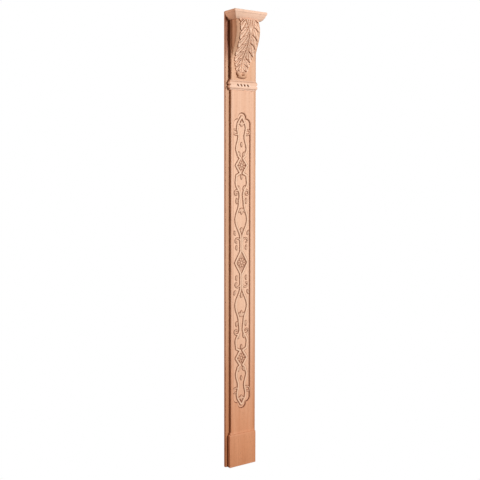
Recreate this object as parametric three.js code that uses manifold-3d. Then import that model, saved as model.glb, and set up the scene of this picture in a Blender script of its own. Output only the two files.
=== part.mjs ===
// A carved beech wall pilaster: backing board, plinth block, shaft with a sunk carved panel,
// beaded necking band, acanthus capital and moulded abacus.
// Millimetres, +Z up, front towards -Y. The origin is the middle of the flat back.
import * as THREE from 'three';
import { mergeVertices } from 'three/addons/utils/BufferGeometryUtils.js';
import Module from 'manifold-3d';

const wasm = await Module();
wasm.setup();

// Whole pilaster
const HEIGHT = 2000;

// Backing board
const BOARD_WIDTH = 162;
const BOARD_THICK = 12;

// Plinth block, depths measured from the board's front
const PLINTH_WIDTH = 141;
const PLINTH_DEPTH = 20;
const PLINTH_HEIGHT = 158;
const PLINTH_MOULDING = 20;
const PLINTH_SETBACK = 6;
const CURVE_SEGMENTS = 6;

// Necking band
const BAND_WIDTH = 146;
const BAND_DEPTH = 23;
const BAND_HEIGHT = 42;
const BAND_BOTTOM = 1669;
const BAND_FILLET = 5;
const BAND_SETBACK = 4;
const BEAD_GROOVE = 6;
const HOLE_COUNT = 4;
const HOLE_PITCH = 17.5;
const HOLE_RADIUS = 2.8;
const HOLE_STRETCH = 1.5;
const HOLE_DEPTH = 7;
const RIBBON_SETBACK = 0.4;
const RIBBON_END = 4;
const RIBBON_HALF_HEIGHT = 8;
const LOZENGE_HALF_WIDTH = 4.2;
const LOZENGE_RISE = 1;
const LOZENGE_CREST = 0.3;
const LOZENGE_SLANT = 0.55;

// Abacus
const ABACUS_WIDTH = 168;
const ABACUS_DEPTH = 77;
const ABACUS_HEIGHT = 37;
const ABACUS_FASCIA = 11;
const ABACUS_QUIRK = 1.5;
const ABACUS_SETBACK = 17.5;
const OVOLO_BELLY = { setback: 6.5, rise: 11 };

// Shaft and its sunk panel, whose middle is the middle rosette, a little left of the shaft's own
const SHAFT_WIDTH = 122;
const SHAFT_THICK = 14;
const PANEL_MIDDLE = 917;
const PANEL_HALF_WIDTH = 46.5;
const PANEL_HALF_LENGTH = 659;
const PANEL_SHIFT = -2;
const PANEL_DEPTH = 6;
const PANEL_SLOPE = 3;
const LOBE_HALF_WIDTH = 24;
const LOBE_RISE = 26;
const SHOULDER_RISE = 27;

// Strapwork that fills the panel
const STRAP_WIDTH = 8;
const STRAP_HEIGHT = 4.5;
const STRAP_CHAMFER = 2;
const STRAP_STEPS = 4;
const ROOT = 1;
const TENDRIL_STEPS = 7;
const TENDRIL_WIDTH = 5.5;
const TENDRIL_TIP = 3.5;
const TENDRIL_HEIGHT = 4;
const LEAFLET_STEPS = 3;
const LEAFLET_SLIMNESS = 0.42;
const LEAFLET_HEIGHT = 3.8;
const ROSETTE_PITCH = 428;
const ROSETTE_RADIUS = 20;
const ROSETTE_TAPER = 0.72;
const ROSETTE_HEIGHT = 3.2;
const ROSETTE_PETALS = 8;
const PETAL_NOTCH = 0.24;
const BUTTON_RADIUS = 6.5;
const BUTTON_HEIGHT = 1.2;
const SMALL_ROUND_SIDES = 8;

// Capital: neck, console and hanging leaf
const NECK_WIDTH = 128;
const NECK_DEPTH = 20;
const CONSOLE_HALF_WIDTH = 61;
const CONSOLE_DEPTH = 57;
const CONSOLE_TOP_DEPTH = 47;
const BULGE_DROP = 43;
const CONSOLE_RUN = 130;
const CONSOLE_BOW = 13;
const BOW_FULL_DROP = 113;
const BOW_END_DROP = 178;
const EDGE_STEP = 0.5;
const LEAF_COLUMNS = 18;
const LEAF_ROWS = 60;
const LEAF_HALF_WIDTH = 49;
const LEAF_TOP_DEPTH = 51;
const LEAF_THICK = 6.5;
const LEAF_SCALLOP = 4.5;
const LEAF_FULL_DROP = 153;
const LEAF_TIP_DROP = 229;
const LEAF_TIP_HALF_WIDTH = 26;
const LEAF_TIP_RELIEF = 0.45;
const LEAF_SWAY = 12;
const LEAF_RIM = 8;
const LEAF_RIM_SHARE = 0.5;
const LOBE_START = 13;
const LOBE_HEIGHT = 38.5;
const LOBE_LOSS = 2.5;
const LOBE_FALL = 0.36;
const LOBE_DROOP = 0.005;
const LOBE_STEP = 4;
const LOBE_GROOVE = 4;
const LOBE_GROOVE_WIDTH = 3.5;
const LOBE_FINGERS = 2;
const FINGER_DEPTH = 2.4;
const FINGER_START = 16;
const MIDRIB_HALF_WIDTH = 4;
const MIDRIB_GROOVE = 4;
const MIDRIB_GROOVE_OUT = 7.5;
const MIDRIB_GROOVE_WIDTH = 3;
const TOE_DROP = 231;
const TOE_HALF_WIDTH = 28;
const TOE_RADIUS = 13;
const TOE_PROJECTION = 15;
const TOE_SMILE = 6;
const TOE_SIDES = 16;

const CAPITAL_BOTTOM = BAND_BOTTOM + BAND_HEIGHT;
const CAPITAL_TOP = HEIGHT - ABACUS_HEIGHT;
const SHAFT_FACE = BOARD_THICK + SHAFT_THICK;
const PANEL_FLOOR = SHAFT_FACE - PANEL_DEPTH;

// Finishes
const BEECH_PINK = { color: 0xe6b696, roughness: 0.62, metalness: 0 };
const BEECH_PALE = { color: 0xecc4a2, roughness: 0.62, metalness: 0 };
const BEECH_BOARD = { color: 0xdcab8a, roughness: 0.66, metalness: 0 };

// Solids and back again

function solid(geometry) {
  const bare = geometry.clone();
  bare.deleteAttribute('normal');
  bare.deleteAttribute('uv');
  const merged = mergeVertices(bare);
  const vertProperties = Float32Array.from(merged.attributes.position.array);
  const triVerts = Uint32Array.from(merged.index.array);
  return new wasm.Manifold(new wasm.Mesh({ numProp: 3, vertProperties, triVerts }));
}

function surface(manifold) {
  const mesh = manifold.getMesh();
  const geometry = new THREE.BufferGeometry();
  geometry.setAttribute('position', new THREE.BufferAttribute(mesh.vertProperties, 3));
  geometry.setIndex(new THREE.BufferAttribute(mesh.triVerts, 1));
  geometry.computeVertexNormals();
  return geometry;
}

function piece(name, geometry, finish) {
  const mesh = new THREE.Mesh(geometry, new THREE.MeshStandardMaterial(finish));
  mesh.name = name;
  return mesh;
}

// A block between two corners, given as the lowest and highest of each axis.
function block([x0, x1], [y0, y1], [z0, z1]) {
  const geometry = new THREE.BoxGeometry(x1 - x0, y1 - y0, z1 - z0);
  return geometry.translate((x0 + x1) / 2, (y0 + y1) / 2, (z0 + z1) / 2);
}

// Moulded blocks

// A block against the board whose front and two ends carry one profile, mitred at the corners.
// The profile runs from foot to top, x the setback from the widest line and y the height.
function returnedMoulding(profile, width, depth) {
  const foot = profile[0].y;
  const top = profile.at(-1).y;
  const front = new THREE.Shape(profile.map((p) => new THREE.Vector2(p.x - depth, p.y)));
  front.lineTo(0, top);
  front.lineTo(0, foot);
  const right = profile.map((p) => new THREE.Vector2(width / 2 - p.x, p.y));
  const left = profile.map((p) => new THREE.Vector2(p.x - width / 2, p.y)).reverse();
  const across = new THREE.Shape([...right, ...left]);

  const alongX = new THREE.ExtrudeGeometry(front, { depth: width, bevelEnabled: false });
  alongX.translate(0, 0, -width / 2);
  const yzToX = new THREE.Matrix4().makeBasis(
    new THREE.Vector3(0, 1, 0),
    new THREE.Vector3(0, 0, 1),
    new THREE.Vector3(1, 0, 0),
  );
  alongX.applyMatrix4(yzToX);
  const alongY = new THREE.ExtrudeGeometry(across, { depth, bevelEnabled: false });
  alongY.rotateX(Math.PI / 2);
  return solid(alongX.translate(0, -BOARD_THICK, 0))
    .intersect(solid(alongY.translate(0, -BOARD_THICK, 0)));
}

function plinthBlock() {
  const shoulder = PLINTH_HEIGHT - PLINTH_MOULDING;
  const half = PLINTH_MOULDING / 2;
  const profile = new THREE.Path();
  profile.moveTo(0, 0);
  profile.lineTo(0, shoulder);
  profile.quadraticCurveTo(0, shoulder + half, PLINTH_SETBACK / 2, shoulder + half);
  profile.quadraticCurveTo(PLINTH_SETBACK, shoulder + half, PLINTH_SETBACK, PLINTH_HEIGHT);
  return surface(returnedMoulding(profile.getPoints(CURVE_SEGMENTS), PLINTH_WIDTH, PLINTH_DEPTH));
}

function abacus() {
  const profile = new THREE.Path();
  profile.moveTo(ABACUS_SETBACK, CAPITAL_TOP);
  profile.quadraticCurveTo(
    OVOLO_BELLY.setback,
    CAPITAL_TOP + OVOLO_BELLY.rise,
    ABACUS_QUIRK,
    HEIGHT - ABACUS_FASCIA,
  );
  profile.lineTo(0, HEIGHT - ABACUS_FASCIA);
  profile.lineTo(0, HEIGHT);
  return surface(returnedMoulding(profile.getPoints(CURVE_SEGMENTS), ABACUS_WIDTH, ABACUS_DEPTH));
}

// Two beads between fillets. A ribbon fills the groove between them along the front, with drilled
// holes and slanted lozenges in turn.
function neckingBand() {
  const bead = BAND_HEIGHT / 2 - BAND_FILLET;
  const top = BAND_BOTTOM + BAND_HEIGHT;
  const middle = BAND_BOTTOM + BAND_HEIGHT / 2;
  const down = -Math.PI / 2;
  const profile = new THREE.Path();
  profile.moveTo(BAND_SETBACK, BAND_BOTTOM);
  profile.lineTo(BAND_SETBACK, BAND_BOTTOM + BAND_FILLET);
  for (const centre of [middle - bead / 2, middle + bead / 2]) {
    profile.absellipse(BEAD_GROOVE, centre, BEAD_GROOVE, bead / 2, down, 3 * down, true);
  }
  profile.lineTo(BAND_SETBACK, top - BAND_FILLET);
  profile.lineTo(BAND_SETBACK, top);
  let band = returnedMoulding(profile.getPoints(CURVE_SEGMENTS), BAND_WIDTH, BAND_DEPTH);

  const face = RIBBON_SETBACK - BAND_DEPTH - BOARD_THICK;
  const reach = BAND_WIDTH / 2 - RIBBON_END;
  const ribbonHeight = [middle - RIBBON_HALF_HEIGHT, middle + RIBBON_HALF_HEIGHT];
  band = band.add(solid(block([-reach, reach], [face, -BOARD_THICK], ribbonHeight)));
  const slant = new THREE.Matrix4().makeShear(0, 0, 0, 0, -LOZENGE_SLANT, 0);
  const start = -((HOLE_COUNT - 0.5) * HOLE_PITCH) / 2;
  for (let i = 0; i < HOLE_COUNT; i += 1) {
    const x = start + i * HOLE_PITCH;
    const lozenge = new THREE.CylinderGeometry(1, LOZENGE_CREST, 2 * LOZENGE_RISE, 4);
    lozenge.scale(LOZENGE_HALF_WIDTH, 1, RIBBON_HALF_HEIGHT).applyMatrix4(slant);
    band = band.add(solid(lozenge.translate(x + HOLE_PITCH / 2, face, middle)));
    const drill = new THREE.CylinderGeometry(HOLE_RADIUS, HOLE_RADIUS, 2 * HOLE_DEPTH, SMALL_ROUND_SIDES);
    drill.scale(1, 1, HOLE_STRETCH).applyMatrix4(slant);
    band = band.subtract(solid(drill.translate(x, face, middle)));
  }
  return surface(band);
}

// Carved shaft

// The sunk panel seen from the front, x across and y up from its middle: straight sides,
// and at each end a round lobe between two rounded shoulders.
function panelOutline() {
  const cusp = PANEL_HALF_LENGTH - LOBE_RISE;
  const spring = cusp - SHOULDER_RISE;
  const shoulder = PANEL_HALF_WIDTH - LOBE_HALF_WIDTH;
  const quarter = Math.PI / 2;
  const outline = new THREE.Shape();
  outline.moveTo(PANEL_HALF_WIDTH, -spring);
  outline.absellipse(LOBE_HALF_WIDTH, spring, shoulder, SHOULDER_RISE, 0, quarter);
  outline.absellipse(0, cusp, LOBE_HALF_WIDTH, LOBE_RISE, 0, 2 * quarter);
  outline.absellipse(-LOBE_HALF_WIDTH, spring, shoulder, SHOULDER_RISE, quarter, 2 * quarter);
  outline.absellipse(-LOBE_HALF_WIDTH, -spring, shoulder, SHOULDER_RISE, 2 * quarter, 3 * quarter);
  outline.absellipse(0, -cusp, LOBE_HALF_WIDTH, LOBE_RISE, 2 * quarter, 4 * quarter);
  outline.absellipse(LOBE_HALF_WIDTH, -spring, shoulder, SHOULDER_RISE, 3 * quarter, 4 * quarter);
  return outline;
}

function panelCutter() {
  const cutter = new THREE.ExtrudeGeometry(panelOutline(), {
    depth: PANEL_DEPTH,
    curveSegments: CURVE_SEGMENTS,
    bevelThickness: PANEL_DEPTH,
    bevelSize: PANEL_SLOPE,
    bevelOffset: -PANEL_SLOPE,
    bevelSegments: 1,
  });
  cutter.rotateX(Math.PI / 2);
  return solid(cutter.translate(PANEL_SHIFT, -SHAFT_FACE, PANEL_MIDDLE));
}

// How far the main strap stands from the centre line at heights above the panel's middle.
// The strap swings smoothly from belly to waist, and runs straight round the rosettes' lozenges.
const STRAP_STATIONS = [
  { up: 0, out: 33 },
  { up: 50, out: 4.5, straight: true },
  { up: 108, out: 4.5, straight: true },
  { up: 190, out: 31.5 },
  { up: 262, out: 13 },
  { up: 300, out: 9 },
  { up: 352, out: 30.5 },
  { up: 384, out: 27 },
  { up: 394, out: 7, straight: true },
  { up: ROSETTE_PITCH, out: 29.5, straight: true },
  { up: 460, out: 7, straight: true },
  { up: 470, out: 19, straight: true },
  { up: 500, out: 28 },
  { up: 552, out: 16.5 },
  { up: 590, out: 23.5 },
  { up: 610, out: 20, straight: true },
  { up: 638, out: 2, straight: true },
];

function upperStrap() {
  const points = [];
  for (let i = 1; i < STRAP_STATIONS.length; i += 1) {
    const a = STRAP_STATIONS[i - 1];
    const b = STRAP_STATIONS[i];
    const steps = b.straight ? 1 : STRAP_STEPS;
    for (let step = 1; step <= steps; step += 1) {
      const part = step / steps;
      const swing = b.straight ? part : (1 - Math.cos(Math.PI * part)) / 2;
      const out = THREE.MathUtils.lerp(a.out, b.out, swing);
      points.push(new THREE.Vector2(out, THREE.MathUtils.lerp(a.up, b.up, part)));
    }
  }
  return points;
}

// The whole strap from the foot of the panel to its head, the lower half a mirror of the upper.
function wholeStrap() {
  const upper = upperStrap();
  const lower = upper.map((p) => new THREE.Vector2(p.x, -p.y)).reverse();
  const tip = new THREE.Vector2(STRAP_STATIONS[0].out, 0);
  return [...lower, tip, ...upper];
}

// A ridge on the panel's floor along a list of front-view points, as wide at each point as
// widthAt says, with chamfered sides and its root a little below the floor.
function ridge(points, widthAt, height) {
  const steps = points.length - 1;
  const geometry = new THREE.BoxGeometry(1, 1, 1, 1, 1, steps);
  const place = geometry.attributes.position;
  for (let i = 0; i < place.count; i += 1) {
    const step = Math.round((place.getZ(i) + 0.5) * steps);
    const before = points[Math.max(0, step - 1)];
    const after = points[Math.min(steps, step + 1)];
    const along = after.clone().sub(before).normalize();
    const raised = place.getY(i) < 0;
    const half = widthAt(step / steps) / 2;
    const reach = Math.max(EDGE_STEP, raised ? half - STRAP_CHAMFER / 2 : half + STRAP_CHAMFER / 2);
    const side = Math.sign(place.getX(i)) * reach;
    const x = PANEL_SHIFT + points[step].x + along.y * side;
    const z = points[step].y - along.x * side;
    place.setXYZ(i, x, -PANEL_FLOOR - (raised ? height : -ROOT), PANEL_MIDDLE + z);
  }
  return solid(geometry);
}

// A tendril that leaves the strap and curls up, a spiral that winds in from one radius to another.
function tendril({ x, up, radius, eye, from, sweep }) {
  const points = [];
  for (let i = 0; i <= TENDRIL_STEPS; i += 1) {
    const part = i / TENDRIL_STEPS;
    const angle = THREE.MathUtils.degToRad(from + sweep * part);
    const reach = radius * (eye / radius) ** part;
    points.push(new THREE.Vector2(x + reach * Math.cos(angle), up + reach * Math.sin(angle)));
  }
  const widthAt = (part) => THREE.MathUtils.lerp(TENDRIL_WIDTH, TENDRIL_TIP, part);
  return { points, widthAt, height: TENDRIL_HEIGHT };
}

// A small leaf: a lens from its stem point, at a turn in degrees from straight out.
function leaflet({ x, up, length, turn }) {
  const angle = THREE.MathUtils.degToRad(turn);
  const points = [];
  for (let i = 0; i <= LEAFLET_STEPS; i += 1) {
    const run = (length * i) / LEAFLET_STEPS;
    points.push(new THREE.Vector2(x + run * Math.cos(angle), up + run * Math.sin(angle)));
  }
  const widthAt = (part) => 1 + length * LEAFLET_SLIMNESS * Math.sin(Math.PI * part);
  return { points, widthAt, height: LEAFLET_HEIGHT };
}

// The tendrils and leaves of the upper right quarter. The other three are its mirror images.
const TENDRILS = [
  { x: 34, up: 577, radius: 20, eye: 5, from: 215, sweep: 260 },
  { x: 27, up: 306, radius: 16, eye: 5, from: 134, sweep: -290 },
  { x: 25, up: 95, radius: 20, eye: 6, from: 180, sweep: -260 },
];
const LEAFLETS = [
  { x: 4, up: 606, length: 15, turn: 35 },
  { x: 7, up: 470, length: 19, turn: 62 },
  { x: 10, up: 321, length: 19, turn: 70 },
  { x: 24, up: 262, length: 23, turn: 85 },
  { x: 4, up: 238, length: 18, turn: -52 },
  { x: 32, up: 124, length: 19, turn: 68 },
  { x: 25, up: 58, length: 20, turn: 85 },
];
const BUDS = [
  { x: 0, up: 598, length: 26, turn: 90 },
  { x: 0, up: 527, length: 18, turn: -90 },
  { x: 0, up: 386, length: 18, turn: -90 },
  { x: 0, up: 240, length: 26, turn: -90 },
  { x: 0, up: 154, length: 24, turn: -90 },
];

// A sprig's ridge, mirrored to the left or to the lower half of the panel.
function mirroredRidge({ points, widthAt, height }, right, upper) {
  const flipped = points.map((p) => new THREE.Vector2(p.x * right, p.y * upper));
  return ridge(flipped, widthAt, height);
}

// A round-petalled flower with a raised button.
function rosette(up) {
  const sides = ROSETTE_PETALS * 3;
  const thick = ROSETTE_HEIGHT + ROOT;
  const tip = ROSETTE_RADIUS * ROSETTE_TAPER;
  const flower = new THREE.CylinderGeometry(ROSETTE_RADIUS, tip, thick, sides);
  const place = flower.attributes.position;
  for (let i = 0; i < place.count; i += 1) {
    const angle = Math.atan2(place.getX(i), place.getZ(i));
    const petal = 1 - PETAL_NOTCH * (1 - Math.abs(Math.sin((ROSETTE_PETALS * angle) / 2)));
    place.setX(i, place.getX(i) * petal);
    place.setZ(i, place.getZ(i) * petal);
  }
  flower.translate(PANEL_SHIFT, -PANEL_FLOOR - ROSETTE_HEIGHT + thick / 2, PANEL_MIDDLE + up);
  const button = new THREE.SphereGeometry(BUTTON_RADIUS, SMALL_ROUND_SIDES, SMALL_ROUND_SIDES / 2);
  button.scale(1, BUTTON_HEIGHT / BUTTON_RADIUS, 1);
  button.translate(PANEL_SHIFT, -PANEL_FLOOR - ROSETTE_HEIGHT, PANEL_MIDDLE + up);
  return solid(flower).add(solid(button));
}

function shaft() {
  const half = SHAFT_WIDTH / 2;
  const plank = block([-half, half], [-SHAFT_FACE, -BOARD_THICK], [PLINTH_HEIGHT, BAND_BOTTOM]);
  let carved = solid(plank).subtract(panelCutter());
  const strap = { points: wholeStrap(), widthAt: () => STRAP_WIDTH, height: STRAP_HEIGHT };
  const sprigs = [...TENDRILS.map(tendril), ...LEAFLETS.map(leaflet)];
  for (const right of [1, -1]) {
    carved = carved.add(mirroredRidge(strap, right, 1));
    for (const upper of [1, -1]) {
      for (const sprig of sprigs) {
        carved = carved.add(mirroredRidge(sprig, right, upper));
      }
    }
  }
  for (const upper of [1, -1]) {
    for (const bud of BUDS.map(leaflet)) {
      carved = carved.add(mirroredRidge(bud, 1, upper));
    }
  }
  for (const place of [-1, 0, 1]) {
    carved = carved.add(rosette(place * ROSETTE_PITCH));
  }
  return surface(carved);
}

// Capital

// How far a front stands off the board at a drop below the abacus: from its depth at the top
// it swells to a bulge, then sweeps back in one long curve to the neck.
function sweptDepth(topDepth, drop) {
  if (drop < BULGE_DROP) {
    return CONSOLE_DEPTH - (CONSOLE_DEPTH - topDepth) * (1 - drop / BULGE_DROP) ** 2;
  }
  const part = Math.min(1, (drop - BULGE_DROP) / CONSOLE_RUN);
  return NECK_DEPTH + (CONSOLE_DEPTH - NECK_DEPTH) * (1 + Math.cos(Math.PI * part)) / 2;
}

// How far the upper console bows out across its width, most at the centre line.
function bow(x, drop) {
  const fade = THREE.MathUtils.smoothstep(drop, BOW_FULL_DROP, BOW_END_DROP);
  return CONSOLE_BOW * (1 - fade) * (1 - Math.abs(x / CONSOLE_HALF_WIDTH) ** 3);
}

// 0 where the leaf has its full width, 1 at its tip.
function leafTaper(drop) {
  return THREE.MathUtils.clamp((drop - LEAF_FULL_DROP) / (LEAF_TIP_DROP - LEAF_FULL_DROP), 0, 1);
}

// How far the leaf leans to the left, which grows towards its tip.
function leafLean(drop) {
  return LEAF_SWAY * THREE.MathUtils.smoothstep(drop, BOW_FULL_DROP, LEAF_TIP_DROP);
}

// Which lobe a place on the leaf is in, counted down from the abacus, with the part of that lobe
// already passed after the point. The lobes spring from the midrib, droop as they run out, and
// each is a little less high than the one above it.
function lobeCount(x, drop) {
  const fall = (out) => LOBE_FALL * out + LOBE_DROOP * out ** 2;
  const edgeDrop = drop - LOBE_START + fall(LEAF_HALF_WIDTH) - fall(Math.abs(x));
  const first = LOBE_HEIGHT + LOBE_LOSS / 2;
  return (first - Math.sqrt(first ** 2 - 2 * LOBE_LOSS * edgeDrop)) / LOBE_LOSS;
}

// Half the leaf's width: even at first, then tapering to the rolled toe, with a notch in the edge
// between lobes.
function leafHalfWidth(drop) {
  const width = THREE.MathUtils.lerp(LEAF_HALF_WIDTH, LEAF_TIP_HALF_WIDTH, leafTaper(drop));
  return width - LEAF_SCALLOP * Math.cos(Math.PI * lobeCount(width, drop)) ** 8;
}

// A groove's share of its full depth at a distance from its middle.
function groove(distance, width) {
  return Math.exp(-((distance / width) ** 2));
}

// The leaf's carving, from 0 on its highest ridges down to its grooves: each lobe starts sunk under
// the one above it and rises in fingers. Along the leaf's edge the carving is shallower.
function leafRelief(x, drop) {
  const out = Math.abs(x);
  const count = lobeCount(x, drop);
  const part = count - Math.floor(count);
  const valley = (1 - Math.cos(2 * Math.PI * LOBE_FINGERS * part)) / 2;
  const spread = THREE.MathUtils.smoothstep(out, MIDRIB_HALF_WIDTH, FINGER_START);
  const seam = groove(part * (LOBE_HEIGHT - LOBE_LOSS * count), LOBE_GROOVE_WIDTH);
  const rim = THREE.MathUtils.smoothstep(leafHalfWidth(drop) - out, 0, LEAF_RIM);
  const cut = LOBE_STEP * (1 - part) + LOBE_GROOVE * seam + FINGER_DEPTH * valley;
  const held = THREE.MathUtils.lerp(LEAF_RIM_SHARE, 1, rim) * spread;
  return -cut * held - MIDRIB_GROOVE * groove(out - MIDRIB_GROOVE_OUT, MIDRIB_GROOVE_WIDTH);
}

// The leaf's depth off the board: it lies on the bowed front of the console.
function leafDepth(x, drop) {
  const relief = THREE.MathUtils.lerp(1, LEAF_TIP_RELIEF, leafTaper(drop)) * leafRelief(x, drop);
  const ground = sweptDepth(LEAF_TOP_DEPTH, drop) + bow(x, drop);
  return drop < LEAF_TIP_DROP ? ground + LEAF_THICK + relief : 0;
}

// The rolled tip of the leaf, a short roll that lies across the neck and turns up at its ends.
function toe() {
  const roll = new THREE.SphereGeometry(1, TOE_SIDES, TOE_SIDES / 2);
  const place = roll.attributes.position;
  for (let i = 0; i < place.count; i += 1) {
    const across = Math.sin((place.getX(i) * Math.PI) / 2);
    const y = TOE_PROJECTION * place.getY(i) - BOARD_THICK - NECK_DEPTH;
    const lift = TOE_RADIUS * place.getZ(i) + TOE_SMILE * across ** 2;
    const x = TOE_HALF_WIDTH * across - leafLean(TOE_DROP);
    place.setXYZ(i, x, y, CAPITAL_TOP - TOE_DROP + lift);
  }
  return solid(roll);
}

// The columns of the capital's front at one height, from left to right, each with its depth
// off the board: neck, console side, bare console, then the leaf from edge to edge.
function capitalColumns(drop) {
  const edge = leafHalfWidth(drop);
  const lean = leafLean(drop);
  const bare = sweptDepth(CONSOLE_TOP_DEPTH, drop);
  const margin = (side) => [
    { x: side * (edge + EDGE_STEP) - lean, depth: bare + bow(edge, drop) },
    { x: side * CONSOLE_HALF_WIDTH, depth: bare },
    { x: side * (CONSOLE_HALF_WIDTH + EDGE_STEP), depth: NECK_DEPTH },
    { x: (side * NECK_WIDTH) / 2, depth: NECK_DEPTH },
  ];
  const leaf = [];
  for (let i = 0; i <= LEAF_COLUMNS; i += 1) {
    const x = edge * ((2 * i) / LEAF_COLUMNS - 1);
    leaf.push({ x: x - lean, depth: Math.max(bare + bow(x, drop), leafDepth(x, drop)) });
  }
  return [...margin(-1).reverse(), ...leaf, ...margin(1)];
}

// Turns the diagonals of the squares on the right, so that both halves of a grid mirror each other.
function mirrorDiagonals(geometry) {
  const place = geometry.attributes.position;
  const corners = geometry.index.array;
  for (let i = 0; i < corners.length; i += 6) {
    const [a, b, d, , c] = corners.slice(i, i + 6);
    if (place.getX(a) + place.getX(c) > 0) {
      corners.set([a, b, c, a, c, d], i);
    }
  }
}

function capital() {
  const height = CAPITAL_TOP - CAPITAL_BOTTOM;
  const spans = capitalColumns(0).length - 1;
  const geometry = new THREE.BoxGeometry(1, 1, height, spans, 1, LEAF_ROWS);
  const place = geometry.attributes.position;
  for (let i = 0; i < place.count; i += 1) {
    const drop = height / 2 - place.getZ(i);
    const { x, depth } = capitalColumns(drop)[Math.round((place.getX(i) + 0.5) * spans)];
    const y = place.getY(i) < 0 ? -BOARD_THICK - depth : 0;
    place.setXYZ(i, x, y, CAPITAL_TOP - drop);
  }
  mirrorDiagonals(geometry);
  const behind = block([-NECK_WIDTH, NECK_WIDTH], [-BOARD_THICK, BOARD_THICK], [0, HEIGHT]);
  return surface(solid(geometry).subtract(solid(behind)).add(toe()));
}

const backingBoard = block([-BOARD_WIDTH / 2, BOARD_WIDTH / 2], [-BOARD_THICK, 0], [0, HEIGHT]);

const pilaster = new THREE.Group();
pilaster.name = 'pilaster';
pilaster.add(
  piece('backing_board', backingBoard, BEECH_BOARD),
  piece('plinth_block', plinthBlock(), BEECH_PINK),
  piece('shaft', shaft(), BEECH_PINK),
  piece('necking_band', neckingBand(), BEECH_PALE),
  piece('capital', capital(), BEECH_PALE),
  piece('abacus', abacus(), BEECH_PALE),
);
pilaster.position.z = -HEIGHT / 2;

export default pilaster;
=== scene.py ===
"""A carved beech wall pilaster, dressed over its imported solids.

Lengths are in millimetres, heights run up from the pilaster's foot and depths run out from the
front of its backing board. Datum turns them into the frame's metres.
"""

import logging
import math
from dataclasses import dataclass, field
from enum import Enum

import bmesh
import bpy
import numpy as np
from mathutils import Matrix, Vector

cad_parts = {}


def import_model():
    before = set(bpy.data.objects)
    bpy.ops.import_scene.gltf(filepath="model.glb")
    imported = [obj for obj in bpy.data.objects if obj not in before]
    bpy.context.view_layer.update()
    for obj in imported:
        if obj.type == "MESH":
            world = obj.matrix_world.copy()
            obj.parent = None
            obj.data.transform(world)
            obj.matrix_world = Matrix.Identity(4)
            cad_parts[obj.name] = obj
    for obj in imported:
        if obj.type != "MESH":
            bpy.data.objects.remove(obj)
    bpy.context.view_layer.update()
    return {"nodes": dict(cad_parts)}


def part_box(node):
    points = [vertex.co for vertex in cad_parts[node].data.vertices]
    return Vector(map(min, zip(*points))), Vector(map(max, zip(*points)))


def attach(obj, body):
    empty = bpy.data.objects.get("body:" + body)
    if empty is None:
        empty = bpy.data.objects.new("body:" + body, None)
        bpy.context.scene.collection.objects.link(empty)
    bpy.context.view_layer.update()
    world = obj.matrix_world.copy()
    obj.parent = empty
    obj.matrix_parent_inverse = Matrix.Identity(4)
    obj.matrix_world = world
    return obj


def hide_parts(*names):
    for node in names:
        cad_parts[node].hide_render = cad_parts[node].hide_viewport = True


LOG = logging.getLogger("pilaster")
MM = 0.001
BODY = "root"
PALE_AND_HIGHLIGHT = "pale_and_painted_highlight"
PAINTED_SHADE = "hollow"

Point = tuple[float, float]
Place = tuple[float, float, float]


def linear(hex_colour: str) -> tuple[float, float, float, float]:
    """Turn an sRGB hex colour into linear light.

    Args:
        hex_colour: six hex digits after a hash.

    Returns:
        Red, green, blue and a full alpha.
    """
    shares = [int(hex_colour[i : i + 2], 16) / 255 for i in (1, 3, 5)]
    red, green, blue = (s / 12.92 if s <= 0.04045 else ((s + 0.055) / 1.055) ** 2.4 for s in shares)
    return red, green, blue, 1.0


def add_node(tree: bpy.types.NodeTree, kind: str, inputs: dict, **settings: object) -> bpy.types.Node:
    """Add a node with its settings, values and links.

    Args:
        tree: the node tree that takes the node.
        kind: Blender's name of the node's type.
        inputs: input name or number, to a value or to the socket that is linked there.
        settings: properties of the node itself.

    Returns:
        The new node.
    """
    node = tree.nodes.new(kind)
    for name, value in settings.items():
        setattr(node, name, value)
    for key, value in inputs.items():
        if isinstance(value, bpy.types.NodeSocket):
            tree.links.new(value, node.inputs[key])
        else:
            node.inputs[key].default_value = value
    return node


def ease(share: np.ndarray) -> np.ndarray:
    """Ease a share from 0 to 1, flat at both ends and held beyond them."""
    held = np.clip(share, 0.0, 1.0)
    return held * held * (3.0 - 2.0 * held)


def bump(distance: np.ndarray, width: float) -> np.ndarray:
    """A soft bump, 1 at no distance and gone a few widths away."""
    return np.exp(-((distance / width) ** 2))


def bend(start: Point, control: Point, end: Point, steps: int) -> np.ndarray:
    """Points along a curve that leaves one point towards a control point and reaches another.

    Args:
        start: first point.
        control: point that the curve heads for at both ends.
        end: last point.
        steps: number of spans.

    Returns:
        Points as rows, both ends included.
    """
    t = np.linspace(0.0, 1.0, steps + 1)[:, None]
    return (1 - t) ** 2 * np.array(start) + 2 * t * (1 - t) * np.array(control) + t**2 * np.array(end)


def hollows(depth: np.ndarray, reach: int, full: float) -> np.ndarray:
    """How deep each place of a grid lies among its neighbours.

    Args:
        depth: the surface, higher where it stands out further.
        reach: how many places away a neighbour may be.
        full: the sinking in millimetres that counts as fully hollow.

    Returns:
        A share from 0 to 1 for each place.
    """
    mean = depth
    for axis in (0, 1):
        sides = [(reach, reach) if a == axis else (0, 0) for a in (0, 1)]
        padded = np.pad(mean, sides, mode="edge")
        mean = np.lib.stride_tricks.sliding_window_view(padded, 2 * reach + 1, axis=axis).mean(axis=-1)
    return np.clip((mean - depth) / full, 0.0, 1.0)


class GrainRun(Enum):
    """Which way a piece's grain runs."""

    UPRIGHT = "upright"
    ACROSS = "across"


@dataclass(frozen=True)
class Grain:
    """A pattern in the wood: its size in millimetres, and how strongly it shows."""

    width: float
    length: float
    detail: float
    # The noise at which it starts to show and shows fully, and its share there.
    low: float
    high: float
    share: float


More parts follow.
